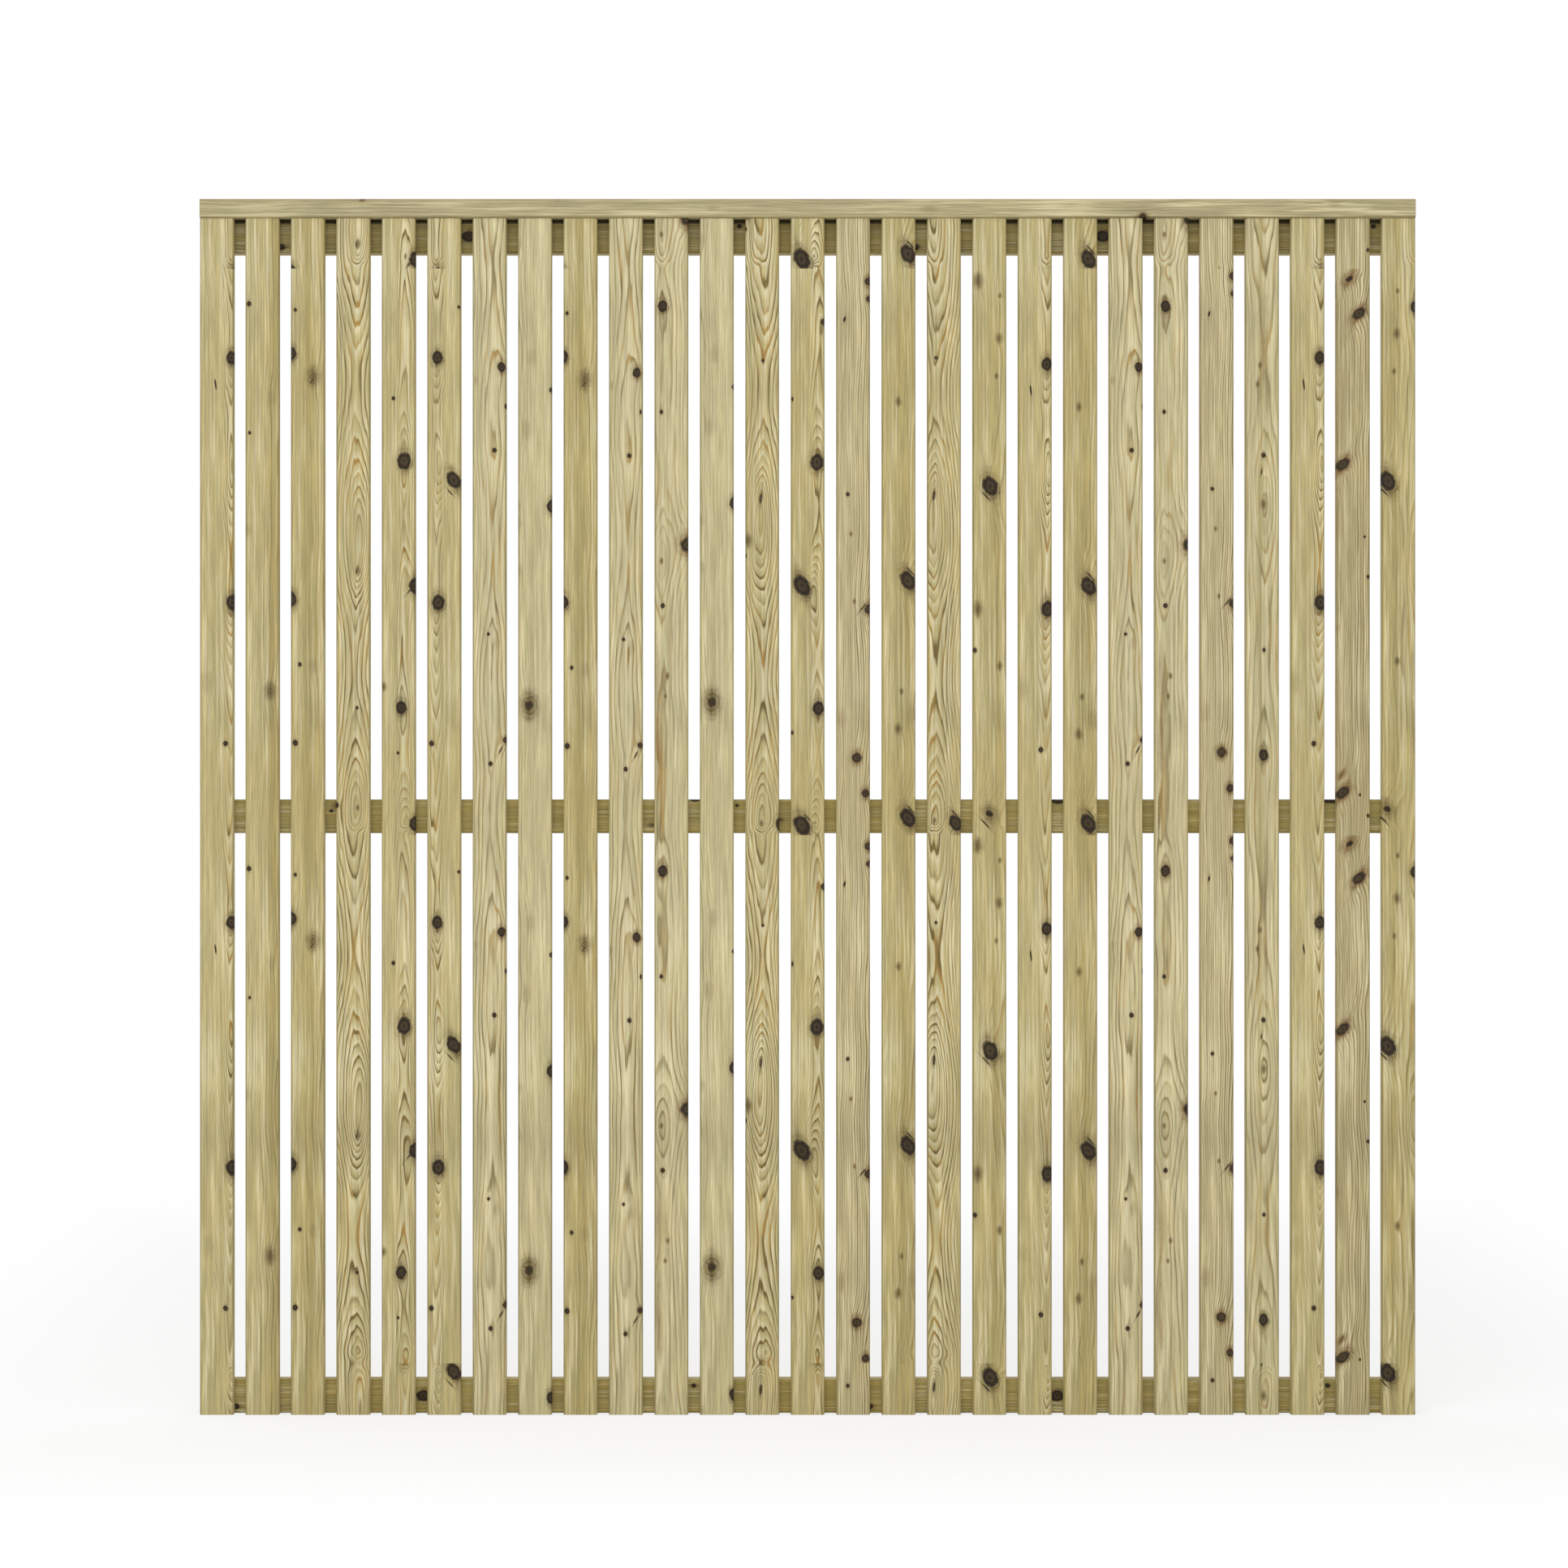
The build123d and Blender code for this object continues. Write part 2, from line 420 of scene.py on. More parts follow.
def blend(tree, share, first, second):
    """Mix two colours."""
    inputs = {"Factor": share, "A": first, "B": second}
    mix = tree.nodes.new("ShaderNodeMix")
    mix.data_type = "RGBA"
    for name, value in inputs.items():
        socket = next(s for s in mix.inputs if s.name == name and s.enabled)
        if isinstance(value, bpy.types.NodeSocket):
            tree.links.new(value, socket)
        else:
            socket.default_value = value
    return next(s for s in mix.outputs if s.enabled)


def noise(tree, vector, stretch, detail=2.0, roughness=0.5):
    """Give a noise between 0 and 1, with its scale across, into and along the wood, in 1/m."""
    scaled = new_node(tree, "ShaderNodeVectorMath", {0: vector, 1: stretch}, operation="MULTIPLY")
    inputs = {"Vector": scaled.outputs[0], "Scale": 1.0, "Detail": detail, "Roughness": roughness}
    return new_node(tree, "ShaderNodeTexNoise", inputs).outputs["Fac"]


def new_group(name, inputs, outputs):
    """Start a node group. Inputs and outputs are (name, kind) pairs."""
    tree = bpy.data.node_groups.new(name, "ShaderNodeTree")
    for label, kind in inputs:
        tree.interface.new_socket(label, in_out="INPUT", socket_type=f"NodeSocket{kind}")
    for label, kind in outputs:
        tree.interface.new_socket(label, in_out="OUTPUT", socket_type=f"NodeSocket{kind}")
    return tree, tree.nodes.new("NodeGroupInput").outputs, tree.nodes.new("NodeGroupOutput").inputs


def use_group(tree, group, inputs):
    """Place a node group in a material and give its outputs."""
    return new_node(tree, "ShaderNodeGroup", inputs, node_tree=group).outputs


def surface_shader(tree, look, depth, strength):
    """Put the shader on a look's colour, roughness and height, and give it."""
    relief = {"Height": look["Height"], "Distance": depth, "Strength": strength}
    bump = new_node(tree, "ShaderNodeBump", relief)
    inputs = {"Base Color": look["Color"], "Roughness": look["Roughness"], "Normal": bump.outputs["Normal"]}
    shader = new_node(tree, "ShaderNodeBsdfPrincipled", inputs)
    new_node(tree, "ShaderNodeOutputMaterial", {"Surface": shader.outputs["BSDF"]})
    return shader


def make_knot_group():
    """One knot: a branch that ran out through the board, with its heart, rim, stain and push."""
    inputs = [("Vector", "Vector")]
    values = ["Across", "Height", "Repeat", "Radius", "Length", "Slant", "Heart Size", "Heart Darkness"]
    values += ["Stain Darkness", "Push Strength", "Waver"]
    inputs += [(label, "Float") for label in values]
    outputs = [(label, "Float") for label in ("Heart", "Rim", "Stain", "Push")]
    tree, given, result = new_group("knot", inputs + outputs, outputs)

    # How far the wood lies from the knot's middle, in radii
    place = new_node(tree, "ShaderNodeSeparateXYZ", {"Vector": given["Vector"]}).outputs
    up = calc(tree, "SUBTRACT", place["Z"], given["Height"])
    half = calc(tree, "MULTIPLY", given["Repeat"], 0.5)
    up = calc(tree, "WRAP", up, half, calc(tree, "MULTIPLY", half, -1.0))
    aside = calc(tree, "SUBTRACT", place["X"], given["Across"])
    aside = calc(tree, "MULTIPLY_ADD", up, calc(tree, "MULTIPLY", given["Slant"], -1.0), aside)
    aside = calc(tree, "DIVIDE", aside, given["Radius"])
    along = calc(tree, "DIVIDE", up, calc(tree, "MULTIPLY", given["Radius"], given["Length"]))
    aside_2 = calc(tree, "MULTIPLY", aside, aside)
    along_2 = calc(tree, "MULTIPLY", along, along)
    distance = calc(tree, "SQRT", calc(tree, "ADD", aside_2, along_2))
    distance = calc(tree, "ADD", distance, given["Waver"])

    # The heart, darkest near its edge and in its middle
    outside = calc(tree, "SUBTRACT", distance, given["Heart Size"])
    heart = calc(tree, "MULTIPLY", ramp(tree, outside, -0.2, 0.24, 1.0, 0.0), given["Heart Darkness"])
    edge = ramp(tree, calc(tree, "ABSOLUTE", calc(tree, "ADD", outside, 0.18)), 0.08, 0.36, 0.85, 0.0)
    middle = ramp(tree, distance, 0.1, 0.34, 0.75, 0.0)
    rim = calc(tree, "MULTIPLY", calc(tree, "MAXIMUM", edge, middle), given["Heart Darkness"])

    # The bark under it, and the stained wood round it, with its years and a tail along the grain
    below = calc(tree, "MULTIPLY_ADD", along, -0.8, calc(tree, "MULTIPLY", aside, 0.6))
    bark = ramp(tree, calc(tree, "ABSOLUTE", calc(tree, "SUBTRACT", outside, 0.3)), 0.0, 0.15, 1.2, 0.0)
    bark = calc(tree, "MULTIPLY", bark, ramp(tree, below, 0.2, 1.0, 0.1, 1.0))
    bark = calc(tree, "MULTIPLY", bark, given["Heart Darkness"])
    reach = calc(tree, "SQRT", calc(tree, "MULTIPLY_ADD", along_2, 0.55, aside_2))
    reach = calc(tree, "MULTIPLY_ADD", given["Waver"], 1.8, reach)
    years = calc(tree, "COSINE", calc(tree, "MULTIPLY", distance, 12.0))
    years = calc(tree, "MULTIPLY_ADD", years, 0.15, 0.85)
    stain = calc(tree, "MULTIPLY", ramp(tree, reach, 0.45, 2.0, 0.95, 0.0), years)
    tail = calc(tree, "MULTIPLY_ADD", aside_2, -9.0, calc(tree, "MULTIPLY", along_2, -0.09))
    stain = calc(tree, "MULTIPLY_ADD", calc(tree, "EXPONENT", tail), 0.35, stain)
    stain = calc(tree, "MULTIPLY", calc(tree, "MAXIMUM", stain, bark), given["Stain Darkness"])

    # How far the rings are pushed aside
    fall = calc(tree, "MULTIPLY_ADD", along_2, 0.05, calc(tree, "MULTIPLY", aside_2, 0.28))
    push = calc(tree, "EXPONENT", calc(tree, "MULTIPLY", fall, -1.0))
    push = calc(tree, "MULTIPLY", calc(tree, "MULTIPLY", push, given["Radius"]), given["Push Strength"])

    tree.links.new(calc(tree, "MAXIMUM", given["Heart"], heart), result["Heart"])
    tree.links.new(calc(tree, "MAXIMUM", given["Rim"], rim), result["Rim"])
    tree.links.new(calc(tree, "MAXIMUM", given["Stain"], stain), result["Stain"])
    tree.links.new(calc(tree, "ADD", given["Push"], push), result["Push"])
    return tree


def make_seam_group():
    """Where on the slats' pattern of knots each height lies, and a mask that fades out at the seams."""
    outputs = [("Vector", "Vector"), ("Fade", "Float")]
    tree, given, result = new_group("knots again", [("Vector", "Vector")], outputs)
    place = new_node(tree, "ShaderNodeSeparateXYZ", {"Vector": given["Vector"]}).outputs
    up = calc(tree, "ADD", place["Z"], FIRST_STEP)
    fade = 1.0
    for height, step in SEAMS:
        up = calc(tree, "MULTIPLY_ADD", calc(tree, "LESS_THAN", place["Z"], height), step, up)
        away = calc(tree, "ABSOLUTE", calc(tree, "SUBTRACT", place["Z"], height))
        fade = calc(tree, "MULTIPLY", fade, ramp(tree, away, 0.0, SEAM_FADE))
    moved = new_node(tree, "ShaderNodeCombineXYZ", {"X": place["X"], "Y": place["Y"], "Z": up})
    tree.links.new(moved.outputs["Vector"], result["Vector"])
    tree.links.new(fade, result["Fade"])
    return tree


def make_ring_group():
    """Growth rings about a pith beside the board: the dark latewood and the pale wood after it."""
    values = ["Pith Across", "Pith Depth", "Lean", "Wave Height", "Wave Turns", "Wave Place"]
    values += ["Ring Width", "Figure Spread", "Strength", "Push"]
    inputs = [("Vector", "Vector")] + [(label, "Float") for label in values]
    tree, given, result = new_group("growth rings", inputs, [("Latewood", "Float"), ("Pale", "Float")])
    place = new_node(tree, "ShaderNodeSeparateXYZ", {"Vector": given["Vector"]}).outputs

    # How far the wood lies from the pith, with the lean, the waves and the unevenness of the tree
    bend = calc(tree, "SUBTRACT", noise(tree, given["Vector"], (3.0, 3.0, 4.0), 1.0), 0.5)
    aside = calc(tree, "SUBTRACT", place["X"], given["Pith Across"])
    aside = calc(tree, "MULTIPLY_ADD", bend, 0.018, aside)
    deep = calc(tree, "ADD", place["Y"], given["Pith Depth"])
    radius = calc(tree, "MULTIPLY", aside, aside)
    radius = calc(tree, "SQRT", calc(tree, "MULTIPLY_ADD", deep, deep, radius))
    radius = calc(tree, "MULTIPLY_ADD", given["Lean"], place["Z"], radius)
    turn = calc(tree, "SUBTRACT", place["Z"], given["Wave Place"])
    turn = calc(tree, "MULTIPLY", turn, given["Wave Turns"])
    turn = calc(tree, "MULTIPLY", turn, 2 * math.pi / WAVE_REPEAT)
    wave = calc(tree, "MULTIPLY", calc(tree, "COSINE", turn), given["Wave Height"])
    radius = calc(tree, "SUBTRACT", radius, wave)
    swell = calc(tree, "SUBTRACT", noise(tree, given["Vector"], (9.0, 9.0, 3.6), 2.0), 0.5)
    radius = calc(tree, "MULTIPLY_ADD", swell, 0.014, radius)
    drift = calc(tree, "SUBTRACT", noise(tree, given["Vector"], (62.0, 62.0, 2.6), 2.0), 0.5)
    radius = calc(tree, "MULTIPLY_ADD", drift, 0.007, radius)
    ripple = calc(tree, "SUBTRACT", noise(tree, given["Vector"], (130.0, 130.0, 16.0), 2.0), 0.5)
    radius = calc(tree, "MULTIPLY_ADD", ripple, 0.0012, radius)
    radius = calc(tree, "SUBTRACT", radius, given["Push"])

    # Each year's ring: dark at its end, pale at the start of the next, and some years darker
    year = calc(tree, "DIVIDE", radius, given["Ring Width"])
    season = calc(tree, "FRACT", year)
    number = {"W": calc(tree, "FLOOR", year)}
    luck = new_node(tree, "ShaderNodeTexWhiteNoise", number, noise_dimensions="1D")
    dark = calc(tree, "MULTIPLY", ramp(tree, season, 0.55, 0.9), ramp(tree, season, 0.92, 1.0, 1.0, 0.0))
    dark = calc(tree, "MULTIPLY", dark, ramp(tree, luck.outputs["Value"], 0.0, 1.0, 0.35, 1.0))
    pale = calc(tree, "MULTIPLY", ramp(tree, season, 0.0, 0.08), ramp(tree, season, 0.1, 0.5, 0.8, 0.0))

    # Where the rings show, and how strongly
    patches = ramp(tree, noise(tree, given["Vector"], (22.0, 22.0, 5.0), 2.0), 0.3, 0.62, 0.45, 1.0)
    spread = calc(tree, "DIVIDE", aside, given["Figure Spread"])
    spread = calc(tree, "EXPONENT", calc(tree, "MULTIPLY", calc(tree, "MULTIPLY", spread, spread), -1.0))
    patches = calc(tree, "MULTIPLY", patches, ramp(tree, spread, 0.0, 1.0, 0.22, 1.0))
    patches = calc(tree, "MULTIPLY", patches, given["Strength"])
    tree.links.new(calc(tree, "MULTIPLY", dark, patches), result["Latewood"])
    tree.links.new(calc(tree, "MULTIPLY", pale, patches), result["Pale"])
    return tree


def make_timber_group():
    """Planed, impregnated softwood: its colour, roughness and height from the masks."""
    inputs = [("Vector", "Vector"), ("Normal", "Vector")]
    inputs += [("Earlywood", "Color"), ("Stain Color", "Color")]
    inputs += [(label, "Float") for label in ("Latewood", "Pale", "Resin", "Heart", "Rim", "Stain")]
    inputs += [(label, "Float") for label in ("Band Across", "Band Width", "Band Strength", "Painted Shade")]
    outputs = [("Color", "Color"), ("Roughness", "Float"), ("Height", "Float")]
    tree, given, result = new_group("planed softwood", inputs, outputs)
    vector = given["Vector"]
    place = new_node(tree, "ShaderNodeSeparateXYZ", {"Vector": vector}).outputs

    cloud = noise(tree, vector, (26.0, 26.0, 4.0), 3.0)
    broad = noise(tree, vector, (170.0, 170.0, 5.0), 3.0, 0.6)
    streaks = noise(tree, vector, (320.0, 320.0, 11.0), 3.0, 0.65)
    fibres = noise(tree, vector, (1900.0, 1900.0, 60.0), 2.0, 0.6)
    pores = noise(tree, vector, (900.0, 900.0, 260.0), 2.0, 0.6)

    # How light the wood is, from broad clouds down to its pores
    light = ramp(tree, cloud, 0.25, 0.75, 0.86, 1.09)
    light = calc(tree, "MULTIPLY", light, ramp(tree, broad, 0.28, 0.72, 0.93, 1.05))
    light = calc(tree, "MULTIPLY", light, ramp(tree, streaks, 0.28, 0.72, 0.78, 1.17))
    light = calc(tree, "MULTIPLY", light, ramp(tree, fibres, 0.2, 0.8, 0.95, 1.045))
    light = calc(tree, "MULTIPLY", light, ramp(tree, pores, 0.2, 0.8, 0.965, 1.03))

    # The band of heartwood
    aside = calc(tree, "SUBTRACT", place["X"], given["Band Across"])
    aside = calc(tree, "MULTIPLY_ADD", calc(tree, "SUBTRACT", cloud, 0.5), 0.006, aside)
    aside = calc(tree, "DIVIDE", aside, given["Band Width"])
    band = calc(tree, "EXPONENT", calc(tree, "MULTIPLY", calc(tree, "MULTIPLY", aside, aside), -1.0))
    band = calc(tree, "MULTIPLY", band, given["Band Strength"])
    band = calc(tree, "MULTIPLY", band, ramp(tree, streaks, 0.3, 0.7, 0.7, 1.0))

    # Earlywood, heartwood, green salts, cream streaks, and latewood with or without resin
    colour = blend(tree, band, given["Earlywood"], linear(HEARTWOOD))
    green = ramp(tree, noise(tree, vector, (85.0, 85.0, 5.0), 2.0), 0.42, 0.66, 0.0, 0.28)
    colour = blend(tree, green, colour, linear(GREEN_TINGE))
    cream = calc(tree, "MULTIPLY_ADD", ramp(tree, broad, 0.46, 0.68), 0.8, given["Pale"])
    cream = calc(tree, "MULTIPLY_ADD", band, -0.6, cream)
    colour = blend(tree, cream, colour, linear(CREAM))
    resin = ramp(tree, noise(tree, vector, (60.0, 60.0, 9.0), 2.0), 0.44, 0.6)
    resin = calc(tree, "MULTIPLY", resin, given["Resin"])
    dark = blend(tree, resin, linear(LATEWOOD), linear(RESIN))
    colour = blend(tree, calc(tree, "MULTIPLY", given["Latewood"], 1.5), colour, dark)

    # The arrises (painted shade, and treatment gathered there), the knots, darker sawn ends with saw marks,
    # and the painted shade on a rail's front
    turned = new_node(tree, "ShaderNodeSeparateXYZ", {"Vector": given["Normal"]}).outputs
    level = [calc(tree, "ABSOLUTE", turned[axis]) for axis in "XYZ"]
    flat = calc(tree, "MAXIMUM", calc(tree, "MAXIMUM", level[0], level[1]), level[2])
    # Painted shade on the rounded arrises, with the treatment that gathers there
    arris_shade_and_tint = ramp(tree, flat, 0.8, 0.99, 0.7, 0.0)
    end = ramp(tree, level[2], 0.8, 0.95)
    colour = blend(tree, arris_shade_and_tint, colour, linear(ARRIS_SHADE_AND_TINT))
    colour = blend(tree, given["Stain"], colour, given["Stain Color"])
    colour = blend(tree, given["Heart"], colour, linear(KNOT_HEART))
    colour = blend(tree, calc(tree, "MULTIPLY", given["Rim"], 0.9), colour, linear(KNOT_RIM))
    light = calc(tree, "MULTIPLY", light, calc(tree, "MULTIPLY_ADD", end, -0.28, 1.0))
    saw = noise(tree, vector, (260.0, 1900.0, 260.0), 2.0, 0.6)
    saw = calc(tree, "MULTIPLY", ramp(tree, saw, 0.3, 0.7, 0.16, 0.0), end)
    light = calc(tree, "MULTIPLY", light, calc(tree, "SUBTRACT", 1.0, saw))
    light = calc(tree, "MULTIPLY", light, calc(tree, "SUBTRACT", 1.0, given["Painted Shade"]))
    shade = new_node(tree, "ShaderNodeVectorMath", {0: colour, "Scale": light}, operation="SCALE")
    tree.links.new(shade.outputs[0], result["Color"])

    # Latewood shines a little and stands proud, and the dark parts of knots are rough and sunk
    rough = calc(tree, "MULTIPLY_ADD", given["Latewood"], -0.08, 0.62)
    rough = calc(tree, "MULTIPLY_ADD", given["Heart"], 0.1, rough)
    tree.links.new(calc(tree, "MULTIPLY_ADD", fibres, 0.1, rough), result["Roughness"])
    height = calc(tree, "MULTIPLY_ADD", given["Latewood"], 0.5, calc(tree, "MULTIPLY", streaks, 0.35))
    height = calc(tree, "MULTIPLY_ADD", fibres, 0.3, height)
    height = calc(tree, "MULTIPLY_ADD", given["Rim"], -0.8, height)
    tree.links.new(height, result["Height"])
    return tree


def make_painted_shade_group():
    """Painted shade on a rail's front, where the slats shut out light, and a painted shadow, darkest right
    under the cap.
    """
    inputs = [("Position", "Vector"), ("Normal", "Vector"), ("Front Shade", "Float"), ("Cap Shadow", "Float")]
    tree, given, result = new_group("damp", inputs + [("Cap Height", "Float")], [("Painted Shade", "Float")])
    faces = new_node(tree, "ShaderNodeSeparateXYZ", {"Vector": given["Normal"]}).outputs
    place = new_node(tree, "ShaderNodeSeparateXYZ", {"Vector": given["Position"]}).outputs
    front = ramp(tree, faces["Y"], -0.9, -0.5, 1.0, 0.0)
    damp = calc(tree, "MULTIPLY", front, given["Front Shade"])
    below = calc(tree, "SUBTRACT", given["Cap Height"], place["Z"])
    # The capping rail's painted shadow, right under it
    seam = calc(tree, "MULTIPLY", ramp(tree, below, *CAP_SHADOW_REACH, 1.0, 0.0), given["Cap Shadow"])
    tree.links.new(calc(tree, "MAXIMUM", damp, calc(tree, "MULTIPLY", seam, front)), result["Painted Shade"])
    return tree


def lay_knots(tree, knots, shift, shared):
    """Lay knots over each other: how dark their hearts, rims and stains are, and how far they push."""
    masks = {"Heart": 0.0, "Rim": 0.0, "Stain": 0.0, "Push": 0.0}
    for across, height, radius, sort, *slant in knots:
        length, heart_size, heart, stain, push = KNOT_SORTS[sort]
        inputs = {
            "Across": (across + shift[0]) * MM, "Height": (height + shift[1]) * MM,
            "Radius": radius * MM, "Length": length, "Slant": sum(slant), "Heart Size": heart_size,
            "Heart Darkness": heart, "Stain Darkness": stain, "Push Strength": push,
        }
        outputs = use_group(tree, KNOT, {**inputs, **shared, **masks})
        masks = {label: outputs[label] for label in masks}
    return masks


def timber(name, piece, kind, tone, shift, along_panel=False, damp=None):
    """A material for one length of timber, placed from the piece's own box."""
    board = BOARDS[kind]
    low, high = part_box(piece)
    material = bpy.data.materials.new(name)
    tree = fresh_tree(material)

    # The way across, into and along the timber from its own corner, and its normals turned with it
    coordinates = tree.nodes.new("ShaderNodeTexCoord").outputs
    if along_panel:
        turn = (0, math.radians(90), 0)
        place = (-low[2], -low[1], high[0])
        width = high[2] - low[2]
    else:
        turn = (0, 0, 0)
        place = (-low[0], -low[1], -low[2])
        width = high[0] - low[0]
    turned = {"Vector": coordinates["Object"], "Location": place, "Rotation": turn}
    vector = new_node(tree, "ShaderNodeMapping", turned).outputs["Vector"]
    turned = {"Vector": coordinates["Normal"], "Rotation": turn}
    normal = new_node(tree, "ShaderNodeMapping", turned).outputs["Vector"]

    # The knots that reach this length once the board is shifted across
    knots = []
    for knot in board["knots"]:
        across, radius = knot[0] + shift[0], knot[2]
        if -2 * radius < across < width / MM + 2 * radius:
            knots.append(knot)
    stain = RED_STAIN if any(knot[3] == "red" for knot in knots) else STAIN
    waver = calc(tree, "SUBTRACT", noise(tree, vector, (170.0, 170.0, 120.0), 3.0, 0.55), 0.5)
    shared = {
        "Vector": vector, "Waver": calc(tree, "MULTIPLY", waver, 0.6),
        "Repeat": board.get("repeat", NO_REPEAT) * MM,
    }
    if along_panel:
        masks = lay_knots(tree, knots, shift, shared)
    else:
        again = use_group(tree, AGAIN, {"Vector": vector})
        masks = lay_knots(tree, knots, shift, {**shared, "Vector": again["Vector"]})
        masks["Push"] = calc(tree, "MULTIPLY", masks["Push"], again["Fade"])

    # The growth rings, and the surface with all of these
    wave_height, wave_turns, wave_place = board["wave"]
    spread, strength = board["figure"]
    rings = {
        "Vector": vector, "Pith Across": (board["pith"][0] + shift[0]) * MM,
        "Pith Depth": board["pith"][1] * MM, "Lean": board["lean"] * MM,
        "Wave Height": wave_height * MM, "Wave Turns": wave_turns,
        "Wave Place": (wave_place + shift[1]) * MM, "Ring Width": board["ring"] * MM,
        "Figure Spread": spread * MM, "Strength": strength, "Push": masks["Push"],
    }
    grown = use_group(tree, RINGS, rings)
    band_across, band_width, band_strength = board.get("band", (0, 1, 0))
    surface = {
        "Vector": vector, "Normal": normal, "Earlywood": linear(EARLYWOOD[tone]),
        "Stain Color": linear(stain), "Latewood": grown["Latewood"], "Pale": grown["Pale"],
        "Resin": board.get("resin", 1.0),
        "Heart": masks["Heart"], "Rim": masks["Rim"], "Stain": masks["Stain"],
        "Band Across": (band_across + shift[0]) * MM, "Band Width": band_width * MM,
        "Band Strength": band_strength, "Painted Shade": 0.0,
    }
    # Painted shade on a rail's front, and the capping rail's painted shadow right under it
    if damp:
        where = {"Position": coordinates["Object"], "Normal": coordinates["Normal"], **damp}
        surface["Painted Shade"] = use_group(tree, PAINTED_SHADE, where)["Painted Shade"]
    shader = surface_shader(tree, use_group(tree, TIMBER, surface), GRAIN_DEPTH, 0.6)
    shader.inputs["Specular IOR Level"].default_value = 0.3
    return material


def make_wear_group():
    """Zinc-coated wire that has dulled and begun to spot with rust."""
    tree, given, result = new_group(
        "dulled zinc",
        [("Vector", "Vector"), ("Rust", "Float")],
        [("Color", "Color"), ("Roughness", "Float"), ("Metallic", "Float"), ("Height", "Float")],
    )
    clouds = noise(tree, given["Vector"], (900.0, 900.0, 900.0), 3.0, 0.6)
    spots = noise(tree, given["Vector"], (340.0, 340.0, 340.0), 3.0, 0.65)
    rust = calc(tree, "MULTIPLY", ramp(tree, spots, 0.5, 0.68), given["Rust"])
    zinc = blend(tree, ramp(tree, clouds, 0.3, 0.7), linear(DULL_ZINC), linear(BRIGHT_ZINC))
    colour = blend(tree, rust, zinc, linear(RUST))
    tree.links.new(colour, result["Color"])
    rough = calc(tree, "MULTIPLY_ADD", clouds, 0.2, 0.32)
    tree.links.new(calc(tree, "MULTIPLY_ADD", rust, 0.35, rough), result["Roughness"])
    tree.links.new(calc(tree, "MULTIPLY_ADD", rust, -0.9, 1.0), result["Metallic"])
    height = calc(tree, "MULTIPLY_ADD", rust, 0.6, calc(tree, "MULTIPLY", clouds, 0.3))
    tree.links.new(height, result["Height"])
    return tree


def fastener_steel(name, rust):
    """Galvanised steel for the staples and brads, with more or less rust."""
    material = bpy.data.materials.new(name)
    tree = fresh_tree(material)
    coordinates = tree.nodes.new("ShaderNodeTexCoord").outputs
    look = use_group(tree, ZINC, {"Vector": coordinates["Object"], "Rust": rust})
    shader = surface_shader(tree, look, WIRE_DEPTH, 0.5)
    tree.links.new(look["Metallic"], shader.inputs["Metallic"])
    return material


def new_piece(name, mesh_maker, body, material):
    """Make an object of a finished bmesh, with its place in its mesh."""
    mesh = bpy.data.meshes.new(name)
    mesh_maker.to_mesh(mesh)
    mesh_maker.free()
    piece = bpy.data.objects.new(name, mesh)
    bpy.context.scene.collection.objects.link(piece)
    mesh.materials.append(material)
    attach(piece, body)
    return piece


def extrude_by(shape, faces, offset):
    """Extrude faces and move what comes out. Returns the new end faces."""
    out = bmesh.ops.extrude_face_region(shape, geom=faces)
    bmesh.ops.delete(shape, geom=faces, context="FACES_ONLY")
    fresh = [item for item in out["geom"] if isinstance(item, bmesh.types.BMVert)]
    bmesh.ops.translate(shape, verts=fresh, vec=offset)
    return [item for item in out["geom"] if isinstance(item, bmesh.types.BMFace)]


def bend(shape, faces, centre, angle, steps):
    """Turn faces about the panel's own Z axis through centre, drawing the wire along."""
    out = bmesh.ops.spin(
        shape, geom=faces, cent=centre, axis=(0, 0, 1), angle=angle, steps=steps, use_duplicate=False
    )
    return [item for item in out["geom_last"] if isinstance(item, bmesh.types.BMFace)]


